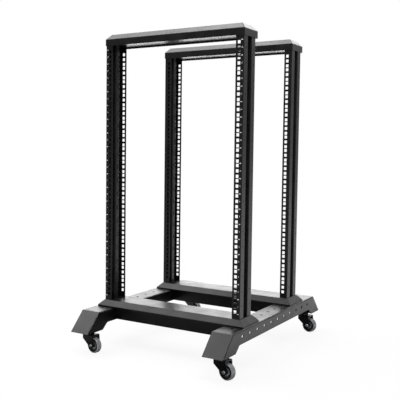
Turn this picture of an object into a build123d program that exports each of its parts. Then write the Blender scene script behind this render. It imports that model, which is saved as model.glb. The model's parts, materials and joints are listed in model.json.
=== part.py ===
# An 18-unit open-frame equipment rack: two goal-post frames of folded steel posts,
# each with a bevelled cap and a bevelled base pan, bolted across two floor rails that
# end in sloped feet on swivel casters. Millimetres; X to the right, Y to the rear,
# Z up, with the origin on the floor midway between the rails and their ends.
import os
from math import hypot

from build123d import *

# Rack units and equipment holes
RACK_UNIT = 44.45
UNITS = 18
HOLES_PER_UNIT = 3
HOLE_PITCH = 15.875
FIRST_HOLE = 6.35
SQUARE_HOLE = 9.5
COLUMN_SPACING = 465.1

# Posts, folded from sheet with a groove down the outer side
POST_SHEET = 2.0
POST_DEPTH = 76.0
COLUMN_TO_EDGE = 10.05
COLUMN_TO_OUTSIDE = 15.95
BEND_RADIUS = 2.5
GROOVE_MOUTH = 24.0
GROOVE_FLOOR = 16.0
GROOVE_DEPTH = 17.0
SLOT_WIDTH = 5.0
SLOT_HEIGHT = 13.5
POST_FOOT_LENGTH = 15.0
POST_HEAD_LENGTH = 18.0

# Floor rails
RAIL_SPACING = 477.0
RAIL_WIDTH = 70.0
RAIL_LENGTH = 736.0
RAIL_SHEET = 2.5
RAIL_BEND = 4.0
RAIL_WALL = 40.0
FOOT_DEPTH = 60.0
FOOT_FLAT = 76.0
FOOT_SLOPE_RUN = 58.0
FOOT_RAMP_RUN = 24.0
FOOT_CORNER = 6.0
RAIL_HOLES = 11
RAIL_HOLE_PITCH = 50.0
RAIL_HOLE_DIAMETER = 10.0
RAIL_HOLE_DROP = 18.0
FOOT_PLATE_THICKNESS = 3.0
FOOT_PLATE_GAP = 3.5

# Where the two frames stand on the rails
FRONT_FACE_TO_CENTRE = 222.0
FRAME_STEPS = 7

# Base pans and the channels under them
PAN_SHEET = 2.0
PAN_BEND = 2.0
PAN_LIP = 4.0
PAN_BEVEL_RISE = 17.0
PAN_BEVEL_SIDE = 18.0
PAN_BEVEL_FRONT = 14.0
PAN_LEDGE_SIDE = 1.5
PAN_LEDGE_FRONT = 1.0
PAN_LEDGE_REAR = 3.0
CHANNEL_SHEET = 2.5
CHANNEL_BEND = 4.0

# Top caps and the channels that close them
CAP_SHEET = 2.0
CAP_BEND = 3.0
CAP_REAR_OVERHANG = 12.0
CAP_SKIRT = 21.0
CAP_BEVEL = 15.0
CAP_BEVEL_RISE = 16.5
CAP_LAP = 5.0
CAP_CHANNEL_FLANGE = 14.0

# Casters
CASTER_HEIGHT = 70.0
CASTER_TO_RAIL_END = 54.0
CASTER_ANGLE = -8.0
TRAIL = 22.0
WHEEL_DIAMETER = 50.0
WHEEL_WIDTH = 18.0
TREAD_SHOULDER_WIDTH = 4.0
TREAD_SHOULDER_DROP = 2.0
HUB_DIAMETER = 37.0
HUB_RIM = 2.5
HUB_RIM_INSET = 0.5
HUB_WEB = 7.0
HUB_DISH = 3.0
BOSS_DIAMETER = 14.0
AXLE_DIAMETER = 6.0
AXLE_HEAD_DIAMETER = 11.0
AXLE_HEAD_HEIGHT = 4.0
AXLE_HEAD_DOME = 3.0
FORK_SHEET = 2.5
FORK_GAP = 28.0
FORK_CROWN_TOP = 59.5
FORK_BEND = 4.0
FORK_FRONT = 15.0
FORK_REAR = 27.0
FORK_FRONT_DROP = 15.0
FORK_REAR_DROP = 22.0
FORK_LIP = 2.0
FORK_ARCH = 6.0
FORK_EYE_DIAMETER = 15.0
CUP_DIAMETER = 30.0
CUP_CROWN_DIAMETER = 22.0
STEM_DIAMETER = 12.0
STEM_LENGTH = 14.0
PIVOT_DIAMETER = 10.0
PIVOT_HEAD_DIAMETER = 18.0
PIVOT_HEAD_HEIGHT = 2.5

# Running clearances
BORE_CLEARANCE = 0.08
SWIVEL_GAP = 0.5

# Heights and places that follow
FOOT_Z = CASTER_HEIGHT
RAIL_TOP = FOOT_Z + FOOT_DEPTH
PAN_TOP = RAIL_TOP + PAN_LIP + PAN_BEVEL_RISE
UNITS_BOTTOM = PAN_TOP + POST_FOOT_LENGTH
UNITS_TOP = UNITS_BOTTOM + UNITS * RACK_UNIT
POST_TOP = UNITS_TOP + POST_HEAD_LENGTH
CAP_BOTTOM = POST_TOP - CAP_LAP
COLUMN_X = COLUMN_SPACING / 2
POST_INSIDE = COLUMN_X - COLUMN_TO_EDGE
POST_OUTSIDE = COLUMN_X + COLUMN_TO_OUTSIDE
FRAME_SPACING = FRAME_STEPS * RAIL_HOLE_PITCH
FRONT_FACE = -FRONT_FACE_TO_CENTRE
RAIL_X = RAIL_SPACING / 2
SLOPE_SHIFT = RAIL_SHEET * hypot(FOOT_SLOPE_RUN, FOOT_DEPTH) / FOOT_DEPTH
PAN_TOP_DEPTH = POST_DEPTH + PAN_LEDGE_FRONT + PAN_LEDGE_REAR
PAN_BASE_DEPTH = PAN_TOP_DEPTH + 2 * PAN_BEVEL_FRONT
PAN_BASE_WIDTH = 2 * (POST_OUTSIDE + PAN_LEDGE_SIDE + PAN_BEVEL_SIDE)
PAN_CENTRE = FRONT_FACE - PAN_LEDGE_FRONT + PAN_TOP_DEPTH / 2
CHANNEL_DEPTH = PAN_TOP_DEPTH - 2 * PAN_SHEET
CAP_DEPTH = CAP_SHEET + POST_DEPTH + CAP_REAR_OVERHANG
CAP_CENTRE = FRONT_FACE - CAP_SHEET + CAP_DEPTH / 2
CAP_WIDTH = 2 * (POST_OUTSIDE + CAP_SHEET)
CASTER_Y = RAIL_LENGTH / 2 - CASTER_TO_RAIL_END
WHEEL_RADIUS = WHEEL_DIAMETER / 2
FORK_WIDTH = FORK_GAP + 2 * FORK_SHEET


def block(x0, x1, y0, y1, z0, z1):
    """A box between two corners."""
    return Pos((x0 + x1) / 2, (y0 + y1) / 2, (z0 + z1) / 2) * Box(x1 - x0, y1 - y0, z1 - z0)


def hole_heights():
    """Heights of the equipment holes, three to each rack unit."""
    return [
        UNITS_BOTTOM + unit * RACK_UNIT + FIRST_HOLE + row * HOLE_PITCH
        for unit in range(UNITS)
        for row in range(HOLES_PER_UNIT)
    ]


def post():
    """The right-hand front post: flanges front and rear, and a groove in its outer side."""
    y0 = FRONT_FACE
    y1 = FRONT_FACE + POST_DEPTH
    middle = (y0 + y1) / 2
    groove_x = POST_OUTSIDE - GROOVE_DEPTH
    outside = FilletPolyline(
        (POST_INSIDE, y0),
        (POST_OUTSIDE, y0),
        (POST_OUTSIDE, middle - GROOVE_MOUTH / 2),
        (groove_x, middle - GROOVE_FLOOR / 2),
        (groove_x, middle + GROOVE_FLOOR / 2),
        (POST_OUTSIDE, middle + GROOVE_MOUTH / 2),
        (POST_OUTSIDE, y1),
        (POST_INSIDE, y1),
        radius=BEND_RADIUS,
    )
    section = make_face(offset(outside, amount=POST_SHEET, side=Side.LEFT, closed=True).edges())
    body = Pos(0, 0, PAN_TOP) * extrude(section, amount=POST_TOP - PAN_TOP, dir=(0, 0, 1))
    half = SQUARE_HOLE / 2
    cuts = []
    for z in hole_heights():
        for y in (y0, y1 - POST_SHEET):
            cuts.append(block(COLUMN_X - half, COLUMN_X + half, y, y + POST_SHEET, z - half, z + half))
    for unit in range(UNITS):
        z = UNITS_BOTTOM + (unit + 0.5) * RACK_UNIT
        cuts.append(
            block(
                groove_x - POST_SHEET,
                groove_x,
                middle - SLOT_WIDTH / 2,
                middle + SLOT_WIDTH / 2,
                z - SLOT_HEIGHT / 2,
                z + SLOT_HEIGHT / 2,
            )
        )
    return body - cuts


def bevelled_tray(width, depth, lip, side, front, rise, sheet, bend):
    """A folded sheet tray standing open side down: upright lip, bevel and flat top."""
    base = Rectangle(width, depth)
    top = Rectangle(width - 2 * side, depth - 2 * front)
    skirt = extrude(base, amount=lip)
    bevel = loft([Pos(0, 0, lip) * base, Pos(0, 0, lip + rise) * top])
    solid = skirt + bevel
    shell = offset(solid, amount=-sheet, openings=solid.faces().sort_by(Axis.Z)[0])
    bends = solid.edges() - solid.edges().group_by(Axis.Z)[0]
    return fillet(bends, bend) - (solid - shell)


def base_pan():
    """The bevelled pan that the posts of one frame stand on."""
    tray = bevelled_tray(
        PAN_BASE_WIDTH,
        PAN_BASE_DEPTH,
        PAN_LIP,
        PAN_BEVEL_SIDE,
        PAN_BEVEL_FRONT,
        PAN_BEVEL_RISE,
        PAN_SHEET,
        PAN_BEND,
    )
    return Pos(0, PAN_CENTRE, RAIL_TOP) * tray


def open_channel(half_length, y0, y1, z0, z1, sheet, bend):
    """A channel along X, folded up at the front and the rear and open at the top."""
    outside = block(-half_length, half_length, y0, y1, z0, z1)
    inside = block(-half_length, half_length, y0 + sheet, y1 - sheet, z0 + sheet, z1)
    outside = fillet(outside.edges().filter_by(Axis.X).group_by(Axis.Z)[0], bend)
    inside = fillet(inside.edges().filter_by(Axis.X).group_by(Axis.Z)[0], bend - sheet)
    return outside - inside


def cross_channel():
    """The deep channel between the rails that stiffens the pan."""
    return open_channel(
        RAIL_X - RAIL_WIDTH / 2,
        PAN_CENTRE - CHANNEL_DEPTH / 2,
        PAN_CENTRE + CHANNEL_DEPTH / 2,
        RAIL_TOP - RAIL_WALL,
        PAN_TOP - PAN_SHEET,
        CHANNEL_SHEET,
        CHANNEL_BEND,
    )


def top_cap():
    """The bevelled cap over the tops of one frame's posts."""
    tray = bevelled_tray(
        CAP_WIDTH,
        CAP_DEPTH,
        CAP_SKIRT,
        CAP_BEVEL,
        CAP_BEVEL,
        CAP_BEVEL_RISE,
        CAP_SHEET,
        CAP_BEND,
    )
    return Pos(0, CAP_CENTRE, CAP_BOTTOM) * tray


def cap_channel():
    """The shallow channel that closes a cap from below and sits on the posts."""
    return open_channel(
        CAP_WIDTH / 2 - CAP_SHEET,
        CAP_CENTRE - CAP_DEPTH / 2 + CAP_SHEET,
        CAP_CENTRE + CAP_DEPTH / 2 - CAP_SHEET,
        POST_TOP,
        POST_TOP + CAP_CHANNEL_FLANGE,
        CAP_SHEET,
        CAP_BEND,
    )


def rail_form(inset, half_width, bend):
    """The outside of a rail, or with an inset the space in it, its folds rounded."""
    end = RAIL_LENGTH / 2 - inset * SLOPE_SHIFT / RAIL_SHEET
    depth = FOOT_DEPTH - inset
    run = FOOT_SLOPE_RUN * depth / FOOT_DEPTH
    outline = Polyline(
        (-end, FOOT_Z),
        (-end + run, FOOT_Z + depth),
        (end - run, FOOT_Z + depth),
        (end, FOOT_Z),
        close=True,
    )
    side = Plane(origin=(RAIL_X, 0, 0), x_dir=(0, 1, 0), z_dir=(1, 0, 0))
    form = extrude(side * make_face(outline), amount=half_width, both=True)
    return fillet(form.edges() - form.edges().group_by(Axis.Z)[0], bend)


def rail():
    """The right-hand floor rail: an inverted channel with deep, slope-ended feet.

    The side holes are in its outer wall only.
    """
    half = RAIL_WIDTH / 2
    foot_end = RAIL_LENGTH / 2 - FOOT_FLAT
    ramp_end = foot_end - FOOT_RAMP_RUN
    arch = Polyline(
        (-foot_end, FOOT_Z),
        (-ramp_end, RAIL_TOP - RAIL_WALL),
        (ramp_end, RAIL_TOP - RAIL_WALL),
        (foot_end, FOOT_Z),
        close=True,
    )
    side = Plane(origin=(RAIL_X, 0, 0), x_dir=(0, 1, 0), z_dir=(1, 0, 0))
    body = rail_form(0, half, RAIL_BEND)
    body -= rail_form(RAIL_SHEET, half - RAIL_SHEET, RAIL_BEND - RAIL_SHEET)
    body -= extrude(side * make_face(arch), amount=half, both=True)
    across = body.edges().filter_by(Axis.X)
    foot_corners = [edge for edge in across if abs(abs(edge.center().Y) - foot_end) < 1]
    ramp_corners = [edge for edge in across if abs(abs(edge.center().Y) - ramp_end) < 1]
    body = fillet(foot_corners + ramp_corners, FOOT_CORNER)
    radius = RAIL_HOLE_DIAMETER / 2
    cuts = []
    for i in range(RAIL_HOLES):
        y = (i - (RAIL_HOLES - 1) / 2) * RAIL_HOLE_PITCH
        cuts.append(Pos(RAIL_X, y, RAIL_TOP - RAIL_SHEET / 2) * Cylinder(radius, RAIL_SHEET))
        outer_wall = Pos(RAIL_X + half - RAIL_SHEET / 2, y, RAIL_TOP - RAIL_HOLE_DROP)
        cuts.append(outer_wall * Rot(0, 90, 0) * Cylinder(radius, RAIL_SHEET))
    return body - cuts


def foot_plate(y):
    """The plate across a foot that the caster's stem passes through."""
    half = RAIL_WIDTH / 2 - RAIL_SHEET
    slope_run = FOOT_SLOPE_RUN * FOOT_PLATE_THICKNESS / FOOT_DEPTH
    plate = block(
        RAIL_X - half,
        RAIL_X + half,
        RAIL_LENGTH / 2 - FOOT_FLAT + FOOT_CORNER,
        RAIL_LENGTH / 2 - SLOPE_SHIFT - slope_run - FOOT_PLATE_GAP,
        FOOT_Z,
        FOOT_Z + FOOT_PLATE_THICKNESS,
    )
    hole = Pos(RAIL_X, CASTER_Y, FOOT_Z + FOOT_PLATE_THICKNESS / 2) * Cylinder(
        STEM_DIAMETER / 2 + BORE_CLEARANCE, FOOT_PLATE_THICKNESS
    )
    plate -= hole
    return plate if y > 0 else mirror(plate, about=Plane.XZ)


def turned(points):
    """A solid of revolution about Z from its profile points (radius, height)."""
    face = make_face(Plane.XZ * Polyline(*points, close=True))
    return revolve(face, axis=Axis.Z)


def caster_stem():
    """Threaded stem, bearing cup and the headed pivot that the fork hangs on."""
    crown_bottom = FORK_CROWN_TOP - FORK_SHEET
    head_top = crown_bottom - SWIVEL_GAP
    head_bottom = head_top - PIVOT_HEAD_HEIGHT
    cup_bottom = FORK_CROWN_TOP + SWIVEL_GAP
    cup_top = CASTER_HEIGHT
    cup = CUP_DIAMETER / 2
    return turned(
        [
            (0, head_bottom),
            (PIVOT_HEAD_DIAMETER / 2, head_bottom),
            (PIVOT_HEAD_DIAMETER / 2, head_top),
            (PIVOT_DIAMETER / 2, head_top),
            (PIVOT_DIAMETER / 2, cup_bottom),
            (cup, cup_bottom),
            (cup, (cup_bottom + cup_top) / 2),
            (CUP_CROWN_DIAMETER / 2, cup_top),
            (STEM_DIAMETER / 2, cup_top),
            (STEM_DIAMETER / 2, cup_top + STEM_LENGTH),
            (0, cup_top + STEM_LENGTH),
        ]
    )


def caster_fork():
    """Pressed fork: a crown with rounded sides, two legs down to the axle and a rear lip."""
    crown_bottom = FORK_CROWN_TOP - FORK_SHEET
    lip_bottom = crown_bottom - FORK_LIP
    gap = FORK_GAP / 2
    eye = Pos(TRAIL, WHEEL_RADIUS) * CenterArc((0, 0), FORK_EYE_DIAMETER / 2, 0, 360)
    crown = Polyline(
        (-FORK_FRONT, FORK_CROWN_TOP),
        (-FORK_FRONT, FORK_CROWN_TOP - FORK_FRONT_DROP),
        (FORK_REAR, FORK_CROWN_TOP - FORK_REAR_DROP),
        (FORK_REAR, FORK_CROWN_TOP),
    )
    leg = make_hull(crown.edges() + [eye.edge()])
    body = extrude(Plane.XZ * leg, amount=FORK_WIDTH / 2, both=True)
    body = fillet(body.edges().filter_by(Axis.X).group_by(Axis.Z)[-1], FORK_BEND)
    hollow = block(-FORK_FRONT, FORK_REAR - FORK_SHEET, -gap, gap, 0, crown_bottom)
    hollow = fillet(hollow.edges().filter_by(Axis.X).group_by(Axis.Z)[-1], FORK_BEND - FORK_SHEET)
    arch = block(-FORK_FRONT, TRAIL + FORK_EYE_DIAMETER, -gap, gap, 0, lip_bottom)
    arch = fillet(arch.edges().filter_by(Axis.X).group_by(Axis.Z)[-1], FORK_ARCH)
    pivot = Cylinder(PIVOT_DIAMETER / 2 + BORE_CLEARANCE, FORK_SHEET)
    axle = Rot(90, 0, 0) * Cylinder(AXLE_DIAMETER / 2, FORK_WIDTH)
    return (
        body
        - hollow
        - arch
        - Pos(0, 0, FORK_CROWN_TOP - FORK_SHEET / 2) * pivot
        - Pos(TRAIL, 0, WHEEL_RADIUS) * axle
    )


def caster_axle():
    """Axle bolt across the fork, with a domed head at each end."""
    radius = AXLE_DIAMETER / 2
    head = AXLE_HEAD_DIAMETER / 2
    leg = FORK_WIDTH / 2
    tip = leg + AXLE_HEAD_HEIGHT
    flat = head - AXLE_HEAD_DOME
    dome = tip - AXLE_HEAD_HEIGHT / 2
    shape = turned(
        [
            (0, -tip),
            (flat, -tip),
            (head, -dome),
            (head, -leg),
            (radius, -leg),
            (radius, leg),
            (head, leg),
            (head, dome),
            (flat, tip),
            (0, tip),
        ]
    )
    return Pos(TRAIL, 0, WHEEL_RADIUS) * Rot(90, 0, 0) * shape


def caster_hub():
    """Moulded wheel hub: boss, thin web and rim."""
    bore = AXLE_DIAMETER / 2 + BORE_CLEARANCE
    boss = BOSS_DIAMETER / 2
    boss_half = FORK_GAP / 2 - SWIVEL_GAP
    rim = HUB_DIAMETER / 2
    rim_inner = rim - HUB_RIM
    half = WHEEL_WIDTH / 2 - HUB_RIM_INSET
    web = HUB_WEB / 2
    dish = web + HUB_DISH
    shape = turned(
        [
            (bore, -boss_half),
            (boss, -boss_half),
            (boss, -web),
            (rim_inner, -dish),
            (rim_inner, -half),
            (rim, -half),
            (rim, half),
            (rim_inner, half),
            (rim_inner, dish),
            (boss, web),
            (boss, boss_half),
            (bore, boss_half),
        ]
    )
    return Pos(TRAIL, 0, WHEEL_RADIUS) * Rot(90, 0, 0) * shape


def caster_tyre():
    """Polyurethane tread with chamfered shoulders, cast on the hub's rim."""
    inner = HUB_DIAMETER / 2
    half = WHEEL_WIDTH / 2
    flat = half - TREAD_SHOULDER_WIDTH
    edge = WHEEL_RADIUS - TREAD_SHOULDER_DROP
    shape = turned(
        [
            (inner, -half),
            (edge, -half),
            (WHEEL_RADIUS, -flat),
            (WHEEL_RADIUS, flat),
            (edge, half),
            (inner, half),
        ]
    )
    return Pos(TRAIL, 0, WHEEL_RADIUS) * Rot(90, 0, 0) * shape


def both_sides(shape):
    """A right-hand piece and its mirror image, left first."""
    return {"left": mirror(shape, about=Plane.YZ), "right": shape}


def build():
    """Every piece of the rack by the name of its node."""
    nodes = {}
    posts = both_sides(post())
    rails = both_sides(rail())
    pan = base_pan()
    channel = cross_channel()
    cap = top_cap()
    cap_floor = cap_channel()
    for side, piece in rails.items():
        nodes[f"{side}_rail"] = piece
    for row, step in (("front", 0), ("rear", FRAME_SPACING)):
        place = Pos(0, step, 0)
        nodes[f"{row}_base_pan"] = place * pan
        nodes[f"{row}_cross_channel"] = place * channel
        nodes[f"{row}_top_cap"] = place * cap
        nodes[f"{row}_cap_channel"] = place * cap_floor
        for side, piece in posts.items():
            nodes[f"{row}_{side}_post"] = place * piece
    casters = {
        "stem": caster_stem(),
        "fork": caster_fork(),
        "axle": caster_axle(),
        "hub": caster_hub(),
        "tyre": caster_tyre(),
    }
    for row, y in (("front", -CASTER_Y), ("rear", CASTER_Y)):
        for side, plate in both_sides(foot_plate(y)).items():
            nodes[f"{row}_{side}_foot_plate"] = plate
            x = RAIL_X if side == "right" else -RAIL_X
            place = Pos(x, y, 0) * Rot(0, 0, CASTER_ANGLE)
            for name, piece in casters.items():
                nodes[f"{row}_{side}_caster_{name}"] = place * piece
    return nodes


os.makedirs("parts", exist_ok=True)
for node, shape in build().items():
    export_step(shape, f"parts/{node}.step")
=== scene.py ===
import json
from math import pi, radians, sqrt

import bpy
from mathutils import Matrix, Vector


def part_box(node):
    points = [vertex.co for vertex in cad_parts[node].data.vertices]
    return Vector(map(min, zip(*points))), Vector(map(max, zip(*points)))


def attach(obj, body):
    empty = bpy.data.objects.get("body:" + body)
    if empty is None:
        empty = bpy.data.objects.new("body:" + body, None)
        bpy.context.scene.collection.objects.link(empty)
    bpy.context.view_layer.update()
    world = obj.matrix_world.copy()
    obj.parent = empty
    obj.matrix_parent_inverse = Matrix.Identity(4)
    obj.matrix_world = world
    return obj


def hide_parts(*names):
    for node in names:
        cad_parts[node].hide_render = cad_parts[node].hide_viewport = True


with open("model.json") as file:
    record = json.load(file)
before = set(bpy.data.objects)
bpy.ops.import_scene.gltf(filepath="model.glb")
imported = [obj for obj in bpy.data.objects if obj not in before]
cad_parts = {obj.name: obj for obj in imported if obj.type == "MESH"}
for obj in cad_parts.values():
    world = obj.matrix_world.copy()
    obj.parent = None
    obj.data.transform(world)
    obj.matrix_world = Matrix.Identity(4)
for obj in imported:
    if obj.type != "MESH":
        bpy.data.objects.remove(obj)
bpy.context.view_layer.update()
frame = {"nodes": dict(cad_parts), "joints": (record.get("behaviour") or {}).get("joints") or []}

# Camera: stands to the right of the rack's front, at two thirds of its height, and looks a little down.
# Its lens and place were worked out from the square holes, whose heights are standard ones. The small
# shift is there because the picture was cut off centre.
EYE = (1.1573, -2.0284, 0.6520)
AIM_DEGREES = (86.410, -0.620, 31.733)
LENS_MM = 62.573
SENSOR_MM = 36.0
SHIFT = (0.0474, -0.0201)
VIEW_DEPTH = 60.0

bpy.ops.object.camera_add(location=EYE, rotation=[radians(angle) for angle in AIM_DEGREES])
camera = bpy.context.object
camera.name = "photo_camera"
camera.data.sensor_width = SENSOR_MM
camera.data.lens = LENS_MM
camera.data.shift_x, camera.data.shift_y = SHIFT
camera.data.clip_end = VIEW_DEPTH
bpy.context.scene.camera = camera
bpy.context.scene.view_settings.view_transform = "Standard"

# Studio: a pale floor in a white room, three soft boxes overhead and four behind. The camera sees floor
# and room as white, and the floor keeps a faint shadow of the rack. In reflections the room is dim in
# front and at the right, where it is unlit, and the floor shows a painted shadow: dark under the rack and
# dim before it.
FLOOR_SIZE = 14.0
FLOOR_GREY = "#e9e9e9"
SHADOW_KEPT = 0.10
SHADOW_NEAR, SHADOW_FAR = 0.45, 1.1
# The floor's painted shadow in reflections: its level under the rack, where it fades out sideways and
# lengthwise, its level before the rack and where that fades.
PAINTED_SHADOW_UNDER = 0.08
UNDER_X = 0.27, 0.42
UNDER_Y = 0.42, 0.80
PAINTED_SHADE_FRONT = 0.35
FRONT_Y = -0.5, 0.0
ROOM_FILL = 0.24
ROOM_FRONT = 0.20
FRONT_TO_REAR = -0.5, 0.6
ROOM_RIGHT = 0.34
LEFT_TO_RIGHT = -0.3, 0.5
WHITE = (1, 1, 1, 1)
SMOOTH = {"interpolation_type": "SMOOTHSTEP"}

# Each soft box has its place, its turn in degrees, its width and length, and its power in watts.
SOFT_BOXES = {
    "overhead_box": ((-2.4, -1.0, 3.0), (0, 0, 0), (2.6, 3.0), 74.0),
    "overhead_centre": ((-1.2, 0.3, 3.0), (0, 0, 0), (1.8, 1.4), 48.0),
    "overhead_right": ((1.2, -1.1, 3.0), (0, 0, 0), (1.7, 1.1), 62.0),
    "rear_box": ((-1.9, 3.4, 1.3), (-78, 0, 28), (3.6, 1.6), 29.0),
    "low_rear_box": ((-2.2, 3.4, 0.4), (-90, 0, 28), (3.4, 0.5), 17.0),
    "high_rear_box": ((-0.3, 3.4, 2.9), (-60, 0, 0), (1.6, 1.3), 20.0),
    "right_rear_box": ((1.2, 3.4, 2.2), (-65, 0, 0), (1.4, 1.2), 4.5),
}


def linear(code):
    """An sRGB hex colour as linear RGBA."""
    channels = [int(code[i : i + 2], 16) / 255 for i in (1, 3, 5)]
    return [c / 12.92 if c <= 0.04045 else ((c + 0.055) / 1.055) ** 2.4 for c in channels] + [1.0]


def add(tree, kind, inputs=None, **settings):
    """Adds a node, with its settings, and its inputs set to values or linked to sockets."""
    made = tree.nodes.new(kind)
    for name, value in settings.items():
        setattr(made, name, value)
    for name, value in (inputs or {}).items():
        if isinstance(value, bpy.types.NodeSocket):
            tree.links.new(value, made.inputs[name])
        else:
            made.inputs[name].default_value = value
    return made


bpy.ops.object.select_all(action="DESELECT")
bpy.ops.mesh.primitive_plane_add(size=FLOOR_SIZE, location=(0, 0, 0))
floor = bpy.context.object
floor.name = "studio_floor"
paint = bpy.data.materials.new("matt_white_floor_paint")
paint.use_nodes = True
tree = paint.node_tree
tree.nodes.clear()
rays = add(tree, "ShaderNodeLightPath")
place = add(tree, "ShaderNodeTexCoord").outputs["Object"]
spot = add(tree, "ShaderNodeSeparateXYZ", {0: place})
# A painted shadow on the floor as reflections see it: painted dark under the rack and dim before it.
beyond = []
for axis, (near, far) in (("X", UNDER_X), ("Y", UNDER_Y)):
    away = add(tree, "ShaderNodeMath", {0: spot.outputs[axis]}, operation="ABSOLUTE").outputs[0]
    limits = {"Value": away, "From Min": near, "From Max": far}
    beyond.append(add(tree, "ShaderNodeMapRange", limits, **SMOOTH).outputs[0])
clear = add(tree, "ShaderNodeMath", {0: beyond[0], 1: beyond[1]}, operation="MAXIMUM").outputs[0]
limits = {"Value": clear, "To Min": PAINTED_SHADOW_UNDER}
under = add(tree, "ShaderNodeMapRange", limits, **SMOOTH).outputs[0]
limits = {"Value": spot.outputs["Y"], "To Min": PAINTED_SHADE_FRONT}
limits["From Min"], limits["From Max"] = FRONT_Y
before = add(tree, "ShaderNodeMapRange", limits, **SMOOTH).outputs[0]
painted_shadow_level = add(tree, "ShaderNodeMath", {0: under, 1: before}, operation="MULTIPLY").outputs[0]
distance = add(tree, "ShaderNodeVectorMath", {0: place}, operation="LENGTH").outputs["Value"]
limits = {"Value": distance, "From Min": SHADOW_NEAR, "From Max": SHADOW_FAR, "To Min": 1 - SHADOW_KEPT}
whiteness = add(tree, "ShaderNodeMapRange", limits, **SMOOTH).outputs[0]
seen = rays.outputs["Is Camera Ray"]
share = add(tree, "ShaderNodeMath", {0: seen, 1: whiteness}, operation="MULTIPLY").outputs[0]
lit = add(tree, "ShaderNodeBsdfDiffuse", {"Color": linear(FLOOR_GREY)}).outputs[0]
white = add(tree, "ShaderNodeEmission", {"Color": WHITE, "Strength": 1.0}).outputs[0]
shine = add(tree, "ShaderNodeEmission", {"Color": WHITE, "Strength": painted_shadow_level}).outputs[0]
plain = add(tree, "ShaderNodeMixShader", {0: share, 1: lit, 2: white}).outputs[0]
glossy = rays.outputs["Is Glossy Ray"]
both = add(tree, "ShaderNodeMixShader", {0: glossy, 1: plain, 2: shine}).outputs[0]
add(tree, "ShaderNodeOutputMaterial", {"Surface": both})
floor.data.materials.append(paint)

room = bpy.data.worlds.new("white_room")
bpy.context.scene.world = room
room.use_nodes = True
tree = room.node_tree
tree.nodes.clear()
rays = add(tree, "ShaderNodeLightPath")
way = add(tree, "ShaderNodeSeparateXYZ", {0: add(tree, "ShaderNodeTexCoord").outputs["Generated"]})
limits = {"Value": way.outputs["X"], "To Min": 1.0, "To Max": ROOM_RIGHT}
limits["From Min"], limits["From Max"] = LEFT_TO_RIGHT
rear = add(tree, "ShaderNodeMapRange", limits, **SMOOTH).outputs[0]
limits = {"Value": way.outputs["Y"]}
limits["From Min"], limits["From Max"] = FRONT_TO_REAR
behind = add(tree, "ShaderNodeMapRange", limits, **SMOOTH).outputs[0]
level = add(tree, "ShaderNodeMix", {0: behind, 2: ROOM_FRONT, 3: rear}).outputs[0]
level = add(tree, "ShaderNodeMix", {0: rays.outputs["Is Diffuse Ray"], 2: level, 3: ROOM_FILL}).outputs[0]
level = add(tree, "ShaderNodeMix", {0: rays.outputs["Is Camera Ray"], 2: level, 3: 1.0}).outputs[0]
sky = add(tree, "ShaderNodeBackground", {"Color": WHITE, "Strength": level}).outputs[0]
add(tree, "ShaderNodeOutputWorld", {"Surface": sky})

for name, (place, turn, size, watts) in SOFT_BOXES.items():
    bpy.ops.object.light_add(type="AREA", location=place, rotation=[radians(angle) for angle in turn])
    box = bpy.context.object
    box.name = name
    box.data.shape = "RECTANGLE"
    box.data.size, box.data.size_y = size
    box.data.energy = watts
    box.visible_camera = False

# Rails, pans, caps and channels: folded mild steel, black powder coated and baked. The coat is a
# semi-gloss skin with an orange peel, a little duller and greyer in patches where it has been rubbed.
# The peel is drawn coarser than the real one, which would be too fine to show.
MM = 0.001
COAT_BLACK = "#0a0a0b"
COAT_WORN = "#121214"
PEEL_MM = 4.0
PATCH_MM = 45.0
PATCH_EDGE = 0.3, 0.7
RELIEF_DEPTH = 0.2 * MM


def skin(name, main, worn, patch_mm, grain_mm, rough, relief, **fixed):
    """A finish of two colours in soft patches, its gloss changing with the patches, and a fine grain in its
    relief.
    """
    made = bpy.data.materials.new(name)
    made.use_nodes = True
    tree = made.node_tree
    tree.nodes.clear()
    place = add(tree, "ShaderNodeTexCoord").outputs["Object"]
    patches = {"Vector": place, "Scale": 1000 / patch_mm, "Detail": 3.0}
    patches = add(tree, "ShaderNodeTexNoise", patches).outputs[0]
    grain = {"Vector": place, "Scale": 1000 / grain_mm, "Detail": 1.0}
    grain = add(tree, "ShaderNodeTexNoise", grain).outputs[0]
    limits = {"Value": patches}
    limits["From Min"], limits["From Max"] = PATCH_EDGE
    wear = add(tree, "ShaderNodeMapRange", limits, **SMOOTH).outputs[0]
    colours = {"Factor": wear, 6: linear(main), 7: linear(worn)}
    colour = add(tree, "ShaderNodeMix", colours, data_type="RGBA").outputs[2]
    limits["To Min"], limits["To Max"] = rough
    roughness = add(tree, "ShaderNodeMapRange", limits, **SMOOTH).outputs[0]
    bump = {"Strength": relief, "Distance": RELIEF_DEPTH, "Height": grain}
    bump = add(tree, "ShaderNodeBump", bump).outputs[0]
    inputs = {"Base Color": colour, "Roughness": roughness, "Normal": bump, **fixed}
    shader = add(tree, "ShaderNodeBsdfPrincipled", inputs)
    add(tree, "ShaderNodeOutputMaterial", {"Surface": shader.outputs[0]})
    return made


coat = skin(
    "black_powder_coated_steel",
    main=COAT_BLACK,
    worn=COAT_WORN,
    patch_mm=PATCH_MM,
    grain_mm=PEEL_MM,
    rough=(0.30, 0.37),
    relief=0.12,
    IOR=1.5,
)
nodes = frame["nodes"]
for name, node in nodes.items():
    if "caster" not in name:
        node.data.materials.clear()
        node.data.materials.append(coat)

# Posts: the same coated steel. Each has small round cable-tie holes punched in the two strips of its
# outer side, one to a rack unit, beside the groove.
RACK_UNIT = 44.45 * MM
UNITS = 18
FIRST_UNIT = 166.0 * MM
TIE_HOLE = 4.5 * MM
TIE_SETBACK = 12.5 * MM
TIE_SPACING = 50.5 * MM
PUNCH_DEPTH = 10.0 * MM
MERGE_DISTANCE = 0.01 * MM
FOLD_ANGLE = radians(30)


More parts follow.
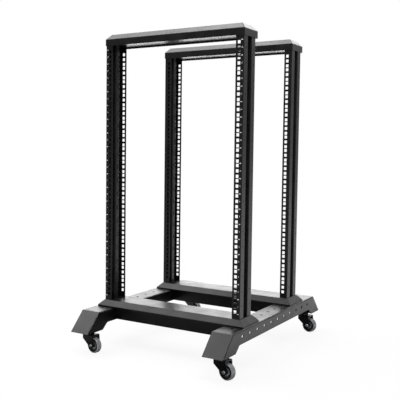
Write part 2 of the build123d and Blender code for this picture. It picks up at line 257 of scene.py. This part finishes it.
def active(piece):
    """Selects one piece alone."""
    bpy.ops.object.select_all(action="DESELECT")
    piece.select_set(True)
    bpy.context.view_layer.objects.active = piece


def repeat(piece, count, step):
    """Repeats a piece in a row, as one mesh."""
    active(piece)
    bpy.ops.object.modifier_add(type="ARRAY")
    row = piece.modifiers[-1]
    row.count = count
    row.use_relative_offset = False
    row.use_constant_offset = True
    row.constant_offset_displace = step
    bpy.ops.object.modifier_apply(modifier=row.name)


posts = [name for name in nodes if name.endswith("_post")]
for name in posts:
    low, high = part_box(name)
    outside = max(low[0], high[0], key=abs)
    bpy.ops.object.select_all(action="DESELECT")
    bpy.ops.mesh.primitive_cylinder_add(
        vertices=20,
        radius=TIE_HOLE / 2,
        depth=PUNCH_DEPTH,
        location=(outside, low[1] + TIE_SETBACK, FIRST_UNIT + RACK_UNIT / 2),
        rotation=(0, pi / 2, 0),
    )
    punch = bpy.context.object
    bpy.ops.object.transform_apply(location=True, rotation=True, scale=True)
    repeat(punch, UNITS, (0, 0, RACK_UNIT))
    repeat(punch, 2, (0, TIE_SPACING, 0))
    drilled = nodes[name].copy()
    drilled.data = nodes[name].data.copy()
    drilled.name = name + "_punched"
    bpy.context.collection.objects.link(drilled)
    drilled.parent = None
    active(drilled)
    bpy.ops.object.mode_set(mode="EDIT")
    bpy.ops.mesh.select_all(action="SELECT")
    bpy.ops.mesh.remove_doubles(threshold=MERGE_DISTANCE)
    bpy.ops.object.mode_set(mode="OBJECT")
    bpy.ops.object.modifier_add(type="BOOLEAN")
    cut = drilled.modifiers[-1]
    cut.operation = "DIFFERENCE"
    cut.solver = "EXACT"
    cut.object = punch
    bpy.ops.object.modifier_apply(modifier=cut.name)
    bpy.ops.object.shade_smooth_by_angle(angle=FOLD_ANGLE)
    bpy.data.objects.remove(punch)
    drilled.data.materials.clear()
    drilled.data.materials.append(coat)
    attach(drilled, "rack_frame")
    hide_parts(name)

# Unit marks: plain numbers and short dashes, screen printed in pale grey ink down the outer edge of each
# front post. A number stands at the middle of its rack unit and a dash at its ends. The ink is matt, and
# a little thinner in places.
MARK_X = 242.6 * MM
MARK_HEIGHT = 6.4 * MM
MARK_RAISED = 0.05 * MM
MARK_EDGE = MARK_RAISED / 5
DASH_WIDTH = 5.6 * MM
DASH_HEIGHT = 2.0 * MM
INK_GREY = "#f2f2f2"
INK_THIN = "#dcdddd"

ink = skin(
    "pale_grey_screen_ink",
    main=INK_GREY,
    worn=INK_THIN,
    patch_mm=8.0,
    grain_mm=0.8,
    rough=(0.5, 0.6),
    relief=0.2,
    IOR=1.45,
)
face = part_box("front_right_post")[0][1] - MARK_RAISED
for side, mark_x in (("left", -MARK_X), ("right", MARK_X)):
    marks = []
    for unit in range(UNITS):
        middle = FIRST_UNIT + (unit + 0.5) * RACK_UNIT
        bpy.ops.object.select_all(action="DESELECT")
        bpy.ops.object.text_add(location=(mark_x, face, middle), rotation=(pi / 2, 0, 0))
        number = bpy.context.object
        number.data.body = str(unit + 1)
        number.data.size = MARK_HEIGHT
        number.data.align_x, number.data.align_y = "CENTER", "CENTER"
        number.data.resolution_u = 3
        number.data.extrude = MARK_RAISED / 2
        bpy.ops.object.convert(target="MESH")
        bpy.ops.object.transform_apply(location=True, rotation=True, scale=True)
        marks.append(bpy.context.object)
    bpy.ops.object.select_all(action="DESELECT")
    bpy.ops.mesh.primitive_cube_add(size=1, location=(mark_x, face, FIRST_UNIT))
    dash = bpy.context.object
    dash.scale = (DASH_WIDTH, MARK_RAISED, DASH_HEIGHT)
    bpy.ops.object.transform_apply(location=True, rotation=True, scale=True)
    bpy.ops.object.mode_set(mode="EDIT")
    bpy.ops.mesh.select_all(action="SELECT")
    bpy.ops.mesh.bevel(offset=MARK_EDGE, segments=1)
    bpy.ops.object.mode_set(mode="OBJECT")
    repeat(dash, UNITS + 1, (0, 0, RACK_UNIT))
    for mark in marks:
        mark.select_set(True)
    bpy.ops.object.join()
    dash.name = f"front_{side}_unit_marks"
    dash.data.materials.clear()
    dash.data.materials.append(ink)
    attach(dash, "rack_frame")

# Welds: short beads of weld metal that hold each post's foot to its pan, coated over with the rest.
# They are laid along the bottom of the front and rear flanges and of the two outer strips.
BEAD_RADIUS = 1.5 * MM
BEAD_RIPPLE = 1.9 * MM
BEAD_RIPPLES = 7
BEAD_VOXEL = 0.35 * MM

bpy.ops.object.select_all(action="DESELECT")
bpy.ops.mesh.primitive_uv_sphere_add(segments=16, ring_count=10, radius=BEAD_RADIUS)
bead = bpy.context.object
bead.name = "weld_bead"
repeat(bead, BEAD_RIPPLES, (BEAD_RIPPLE, 0, 0))
bead.data.transform(Matrix.Translation((-BEAD_RIPPLE * (BEAD_RIPPLES - 1) / 2, 0, 0)))
bpy.ops.object.modifier_add(type="REMESH")
melt = bead.modifiers[-1]
melt.mode = "VOXEL"
melt.voxel_size = BEAD_VOXEL
bpy.ops.object.modifier_apply(modifier=melt.name)
bpy.ops.object.shade_smooth()
bead.data.materials.append(coat)


def fitted(piece, name, place, turn=0.0):
    """A copy of a piece with its own mesh, turned about the upright axis and moved to a place."""
    copy = piece.copy()
    copy.data = piece.data.copy()
    copy.name = name
    bpy.context.collection.objects.link(copy)
    copy.data.transform(Matrix.Translation(place) @ Matrix.Rotation(turn, 4, "Z"))
    return copy


for name in posts:
    low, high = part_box(name)
    outside = max(low[0], high[0], key=abs)
    middle = (low[0] + high[0]) / 2
    beads = []
    for y in (low[1], high[1]):
        beads.append(fitted(bead, "bead", (middle, y, low[2])))
    for setback in (TIE_SETBACK, TIE_SETBACK + TIE_SPACING):
        beads.append(fitted(bead, "bead", (outside, low[1] + setback, low[2]), pi / 2))
    active(beads[0])
    for other in beads:
        other.select_set(True)
    bpy.ops.object.join()
    beads[0].name = name + "_foot_welds"
    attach(beads[0], "rack_frame")
bpy.data.objects.remove(bead)

# Caster bearings: a pressed black cup over the fork's crown, on a zinc-plated threaded stem. The stem is
# held in the foot by a washer and a hexagon nut, and the fork hangs on the pivot's riveted head. These
# sizes are millimetres, heights above the ground, and radii where they are inner and outer.
CASTER_ANGLE = radians(-8.0)
CUP_LOW, CUP_HIGH = 60.0, 70.0
STEM_TOP = 84.0
PLATE_TOP = 73.0
THREAD_PITCH = 1.75
THREAD_ROOT, THREAD_CREST = 5.2, 6.0
CREST_START, CREST_END = 0.45 * THREAD_PITCH, 0.55 * THREAD_PITCH
WASHER_INNER, WASHER_OUTER = 6.4, 12.0
WASHER_THICKNESS = 2.0
WASHER_EDGE = 0.3
WASHER_TOP = PLATE_TOP + WASHER_THICKNESS
NUT_FLATS = 18.0
NUT_INNER = 6.3
NUT_HEIGHT = 8.5
NUT_EDGE = 0.5
EDGE_ANGLE = radians(32)
FORK_BLACK = "#0a0a0b"
FORK_WORN = "#121214"
ZINC_PALE = "#eceeef"
ZINC_DULL = "#cfd2d5"

# Sprayed enamel is smoother than the powder coat, so it shines more. Bright zinc is a pale metal with a
# soft shine, duller in small patches.
enamel = skin(
    "black_fork_enamel",
    main=FORK_BLACK,
    worn=FORK_WORN,
    patch_mm=9.0,
    grain_mm=1.2,
    rough=(0.24, 0.34),
    relief=0.10,
    IOR=1.45,
)
zinc = skin(
    "bright_zinc_plated_steel",
    main=ZINC_PALE,
    worn=ZINC_DULL,
    patch_mm=5.0,
    grain_mm=0.6,
    rough=(0.38, 0.50),
    relief=0.08,
    Metallic=1.0,
)


def turned(name, profile, along, steps=64, centre=(0, 0, 0)):
    """A turned piece: a line through points (radius, place on the axis), in mm, spun about its axis."""
    axis = Vector((0, 1, 0)) if along == "Y" else Vector((0, 0, 1))
    points = [Vector((radius * MM, 0, 0)) + axis * place * MM + Vector(centre) for radius, place in profile]
    bpy.ops.object.select_all(action="DESELECT")
    bpy.ops.mesh.primitive_plane_add(size=MM, location=(0, 0, 0))
    piece = bpy.context.object
    piece.name = name
    bpy.ops.object.mode_set(mode="EDIT")
    bpy.ops.mesh.merge(type="CENTER")
    bpy.ops.transform.translate(value=points[0])
    for start, end in zip(points, points[1:]):
        bpy.ops.mesh.extrude_region_move(TRANSFORM_OT_translate={"value": end - start})
    bpy.ops.mesh.select_all(action="SELECT")
    bpy.ops.mesh.spin(steps=steps, angle=2 * pi, center=centre, axis=axis)
    bpy.ops.mesh.select_all(action="SELECT")
    bpy.ops.mesh.remove_doubles(threshold=MERGE_DISTANCE)
    bpy.ops.mesh.normals_make_consistent(inside=False)
    bpy.ops.object.mode_set(mode="OBJECT")
    bpy.ops.object.shade_smooth_by_angle(angle=EDGE_ANGLE)
    return piece


cup_wall = [(6, CUP_LOW), (14.4, CUP_LOW), (15, 60.6), (15, 64.2), (14.6, 65.6), (13.6, 67.2)]
cup_wall += [(12.2, 68.6), (11, 69.3), (9.6, 69.8), (7.6, CUP_HIGH), (6, CUP_HIGH), (6, CUP_LOW)]
cup = turned("cup", cup_wall, "Z")
cup.data.materials.append(enamel)

rivet = [(0, 54.0), (5.6, 54.0), (7.6, 54.4), (8.7, 55.2), (9, 56.0), (9, 56.5), (5, 56.5)]
rivet += [(5, CUP_LOW), (0, CUP_LOW)]
pivot = turned("pivot", rivet, "Z")
pivot.data.materials.append(zinc)

screw = [(0, CUP_HIGH)]
for thread in range(int((STEM_TOP - CUP_HIGH) / THREAD_PITCH)):
    z = CUP_HIGH + thread * THREAD_PITCH
    screw += [(THREAD_ROOT, z), (THREAD_CREST, z + CREST_START), (THREAD_CREST, z + CREST_END)]
screw += [(THREAD_ROOT, STEM_TOP), (0, STEM_TOP)]
stem = turned("stem", screw, "Z", steps=32)
stem.data.materials.append(zinc)

rim = WASHER_OUTER - WASHER_EDGE
disc = [(WASHER_INNER, PLATE_TOP), (rim, PLATE_TOP), (WASHER_OUTER, PLATE_TOP + WASHER_EDGE)]
disc += [(WASHER_OUTER, WASHER_TOP - WASHER_EDGE), (rim, WASHER_TOP), (WASHER_INNER, WASHER_TOP)]
disc += [(WASHER_INNER, PLATE_TOP)]
washer = turned("washer", disc, "Z", steps=48)
washer.data.materials.append(zinc)

bpy.ops.object.select_all(action="DESELECT")
bpy.ops.mesh.primitive_cylinder_add(
    vertices=6,
    radius=NUT_FLATS / sqrt(3) * MM,
    depth=NUT_HEIGHT * MM,
    location=(0, 0, (WASHER_TOP + NUT_HEIGHT / 2) * MM),
)
nut = bpy.context.object
nut.name = "nut"
bpy.ops.object.transform_apply(location=True, rotation=True, scale=True)
bpy.ops.object.mode_set(mode="EDIT")
bpy.ops.mesh.select_mode(type="FACE")
bpy.ops.mesh.select_all(action="DESELECT")
bpy.ops.object.mode_set(mode="OBJECT")
for flat in nut.data.polygons:
    flat.select = abs(flat.normal.z) > 0.9
bpy.ops.object.mode_set(mode="EDIT")
bpy.ops.mesh.inset(thickness=(NUT_FLATS / 2 - NUT_INNER) * MM)
bpy.ops.mesh.bridge_edge_loops()
bpy.ops.mesh.select_all(action="SELECT")
bpy.ops.mesh.normals_make_consistent(inside=False)
bpy.ops.mesh.bevel(offset=NUT_EDGE * MM, segments=2)
bpy.ops.mesh.select_mode(type="VERT")
bpy.ops.object.mode_set(mode="OBJECT")
bpy.ops.object.shade_smooth_by_angle(angle=EDGE_ANGLE)
nut.data.materials.append(zinc)

# Caster wheels: a black rubber tyre, cut by two grooves, with a painted grey highlight over its crown and
# shoulders, on a moulded black nylon hub with a painted grey highlight on its raised ring. Each turns on a
# zinc-plated axle riveted over at both ends.
AXLE_CENTRE = (22.0 * MM, 0.0, 25.0 * MM)
# The ring grey is a painted highlight on the black hub's raised ring.
HUB_HIGHLIGHT_GREY, HUB_HIGHLIGHT_PATCH = "#8e9195", "#7b7e82"
HUB_BLACK, HUB_WORN = "#111112", "#18181a"
# The band grey is a painted highlight on the black tyre's crown and shoulders.
TREAD_HIGHLIGHT_GREY, TREAD_HIGHLIGHT_PATCH = "#8e9092", "#7e8082"
RUBBER_BLACK, RUBBER_WORN = "#121213", "#1c1c1e"
TREAD_HIGHLIGHT_RADII = 21.4, 26.0
HUB_HIGHLIGHT_RADII = 7.2, 12.1

# Moulded nylon has a satin skin, as has the painted highlight on its ring. The painted highlight on the
# tread is smoother and more even, and the rubber is as glossy as its mould, with greyer marks where it has
# been handled.
hub_highlight = skin(
    "grey_painted_hub_highlight",
    main=HUB_HIGHLIGHT_GREY,
    worn=HUB_HIGHLIGHT_PATCH,
    patch_mm=12.0,
    grain_mm=0.9,
    rough=(0.24, 0.34),
    relief=0.08,
    IOR=1.53,
)
nylon = skin(
    "moulded_black_nylon",
    main=HUB_BLACK,
    worn=HUB_WORN,
    patch_mm=12.0,
    grain_mm=0.9,
    rough=(0.26, 0.36),
    relief=0.08,
    IOR=1.53,
)
tread_highlight = skin(
    "grey_painted_tread_highlight",
    main=TREAD_HIGHLIGHT_GREY,
    worn=TREAD_HIGHLIGHT_PATCH,
    patch_mm=10.0,
    grain_mm=1.1,
    rough=(0.20, 0.30),
    relief=0.06,
    IOR=1.5,
)
rubber = skin(
    "moulded_black_rubber",
    main=RUBBER_BLACK,
    worn=RUBBER_WORN,
    patch_mm=9.0,
    grain_mm=1.0,
    rough=(0.16, 0.26),
    relief=0.06,
    IOR=1.53,
)

# Each profile is one side of the wheel, as radius and distance from the wheel's middle, in millimetres.
half_tread = [(18.5, 9), (20.8, 9), (22.2, 8.6), (23.5, 7.8), (24.4, 6.6), (24.8, 5.6), (23.6, 5.3)]
half_tread += [(23.6, 4.7), (24.95, 4.4), (25, 3.6), (25, 0.9)]
half_hub = [(3.1, 13.5), (6.5, 13.5), (7, 13.0), (7, 4.6), (7.6, 3.9), (9.6, 4.0), (10.0, 4.4)]
half_hub += [(10.2, 5.3), (11.6, 5.5), (12.0, 4.9), (14.6, 6.0), (15.6, 6.8), (16, 8.1), (16.4, 8.5)]
half_hub += [(18.5, 8.5)]
half_axle = [(0, 19.6), (1.4, 19.6), (1.7, 20.4), (2.5, 20.5), (4.2, 19.9), (5.2, 18.7), (5.5, 17.4)]
half_axle += [(5.5, 16.5), (3.0, 16.5)]


def whole(half, closed):
    """A profile and its mirror image, closed on itself where the piece has a bore."""
    points = half + [(radius, -place) for radius, place in reversed(half)]
    return points + [points[0]] if closed else points


def paint_ring(piece, body, painted_highlight, inner, outer):
    """Gives a wheel piece its body's finish, and a painted grey highlight between two radii about the axle,
    in mm.
    """
    piece.data.materials.append(body)
    piece.data.materials.append(painted_highlight)
    for face in piece.data.polygons:
        spoke = (face.center - Vector(AXLE_CENTRE)) / MM
        spoke.y = 0
        if inner < spoke.length < outer:
            face.material_index = 1


tyre = turned("tyre", whole(half_tread, True), "Y", steps=96, centre=AXLE_CENTRE)
# Paints the grey highlight over the tyre's crown and shoulders.
paint_ring(tyre, rubber, tread_highlight, *TREAD_HIGHLIGHT_RADII)
hub = turned("hub", whole(half_hub, True), "Y", steps=80, centre=AXLE_CENTRE)
# Paints the grey highlight over the hub's raised ring.
paint_ring(hub, nylon, hub_highlight, *HUB_HIGHLIGHT_RADII)
axle = turned("axle", whole(half_axle, False), "Y", steps=32, centre=AXLE_CENTRE)
axle.data.materials.append(zinc)

swivels = {joint["child"]: joint["pos_m"] for joint in frame["joints"]}
for corner in ("front_left", "front_right", "rear_left", "rear_right"):
    x, y, _ = swivels[f"{corner}_swivel"]
    fork = nodes[f"{corner}_caster_fork"]
    fork.data.materials.clear()
    fork.data.materials.append(enamel)
    for piece, end, body, slot in (
        (cup, "stem", "rack_frame", "fork_enamel"),
        (pivot, None, "rack_frame", "zinc_plated_steel"),
        (stem, None, "rack_frame", "zinc_plated_steel"),
        (washer, None, "rack_frame", "zinc_plated_steel"),
        (nut, None, "rack_frame", "zinc_plated_steel"),
        (tyre, "tyre", f"{corner}_wheel", "tread_polyurethane"),
        (hub, "hub", f"{corner}_wheel", "hub_nylon"),
        (axle, "axle", f"{corner}_swivel", "zinc_plated_steel"),
    ):
        made = fitted(piece, f"{corner}_{piece.name}", (x, y, 0), CASTER_ANGLE)
        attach(made, body)
        if end:
            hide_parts(f"{corner}_caster_{end}")
for piece in (cup, pivot, stem, washer, nut, tyre, hub, axle):
    bpy.data.objects.remove(piece)
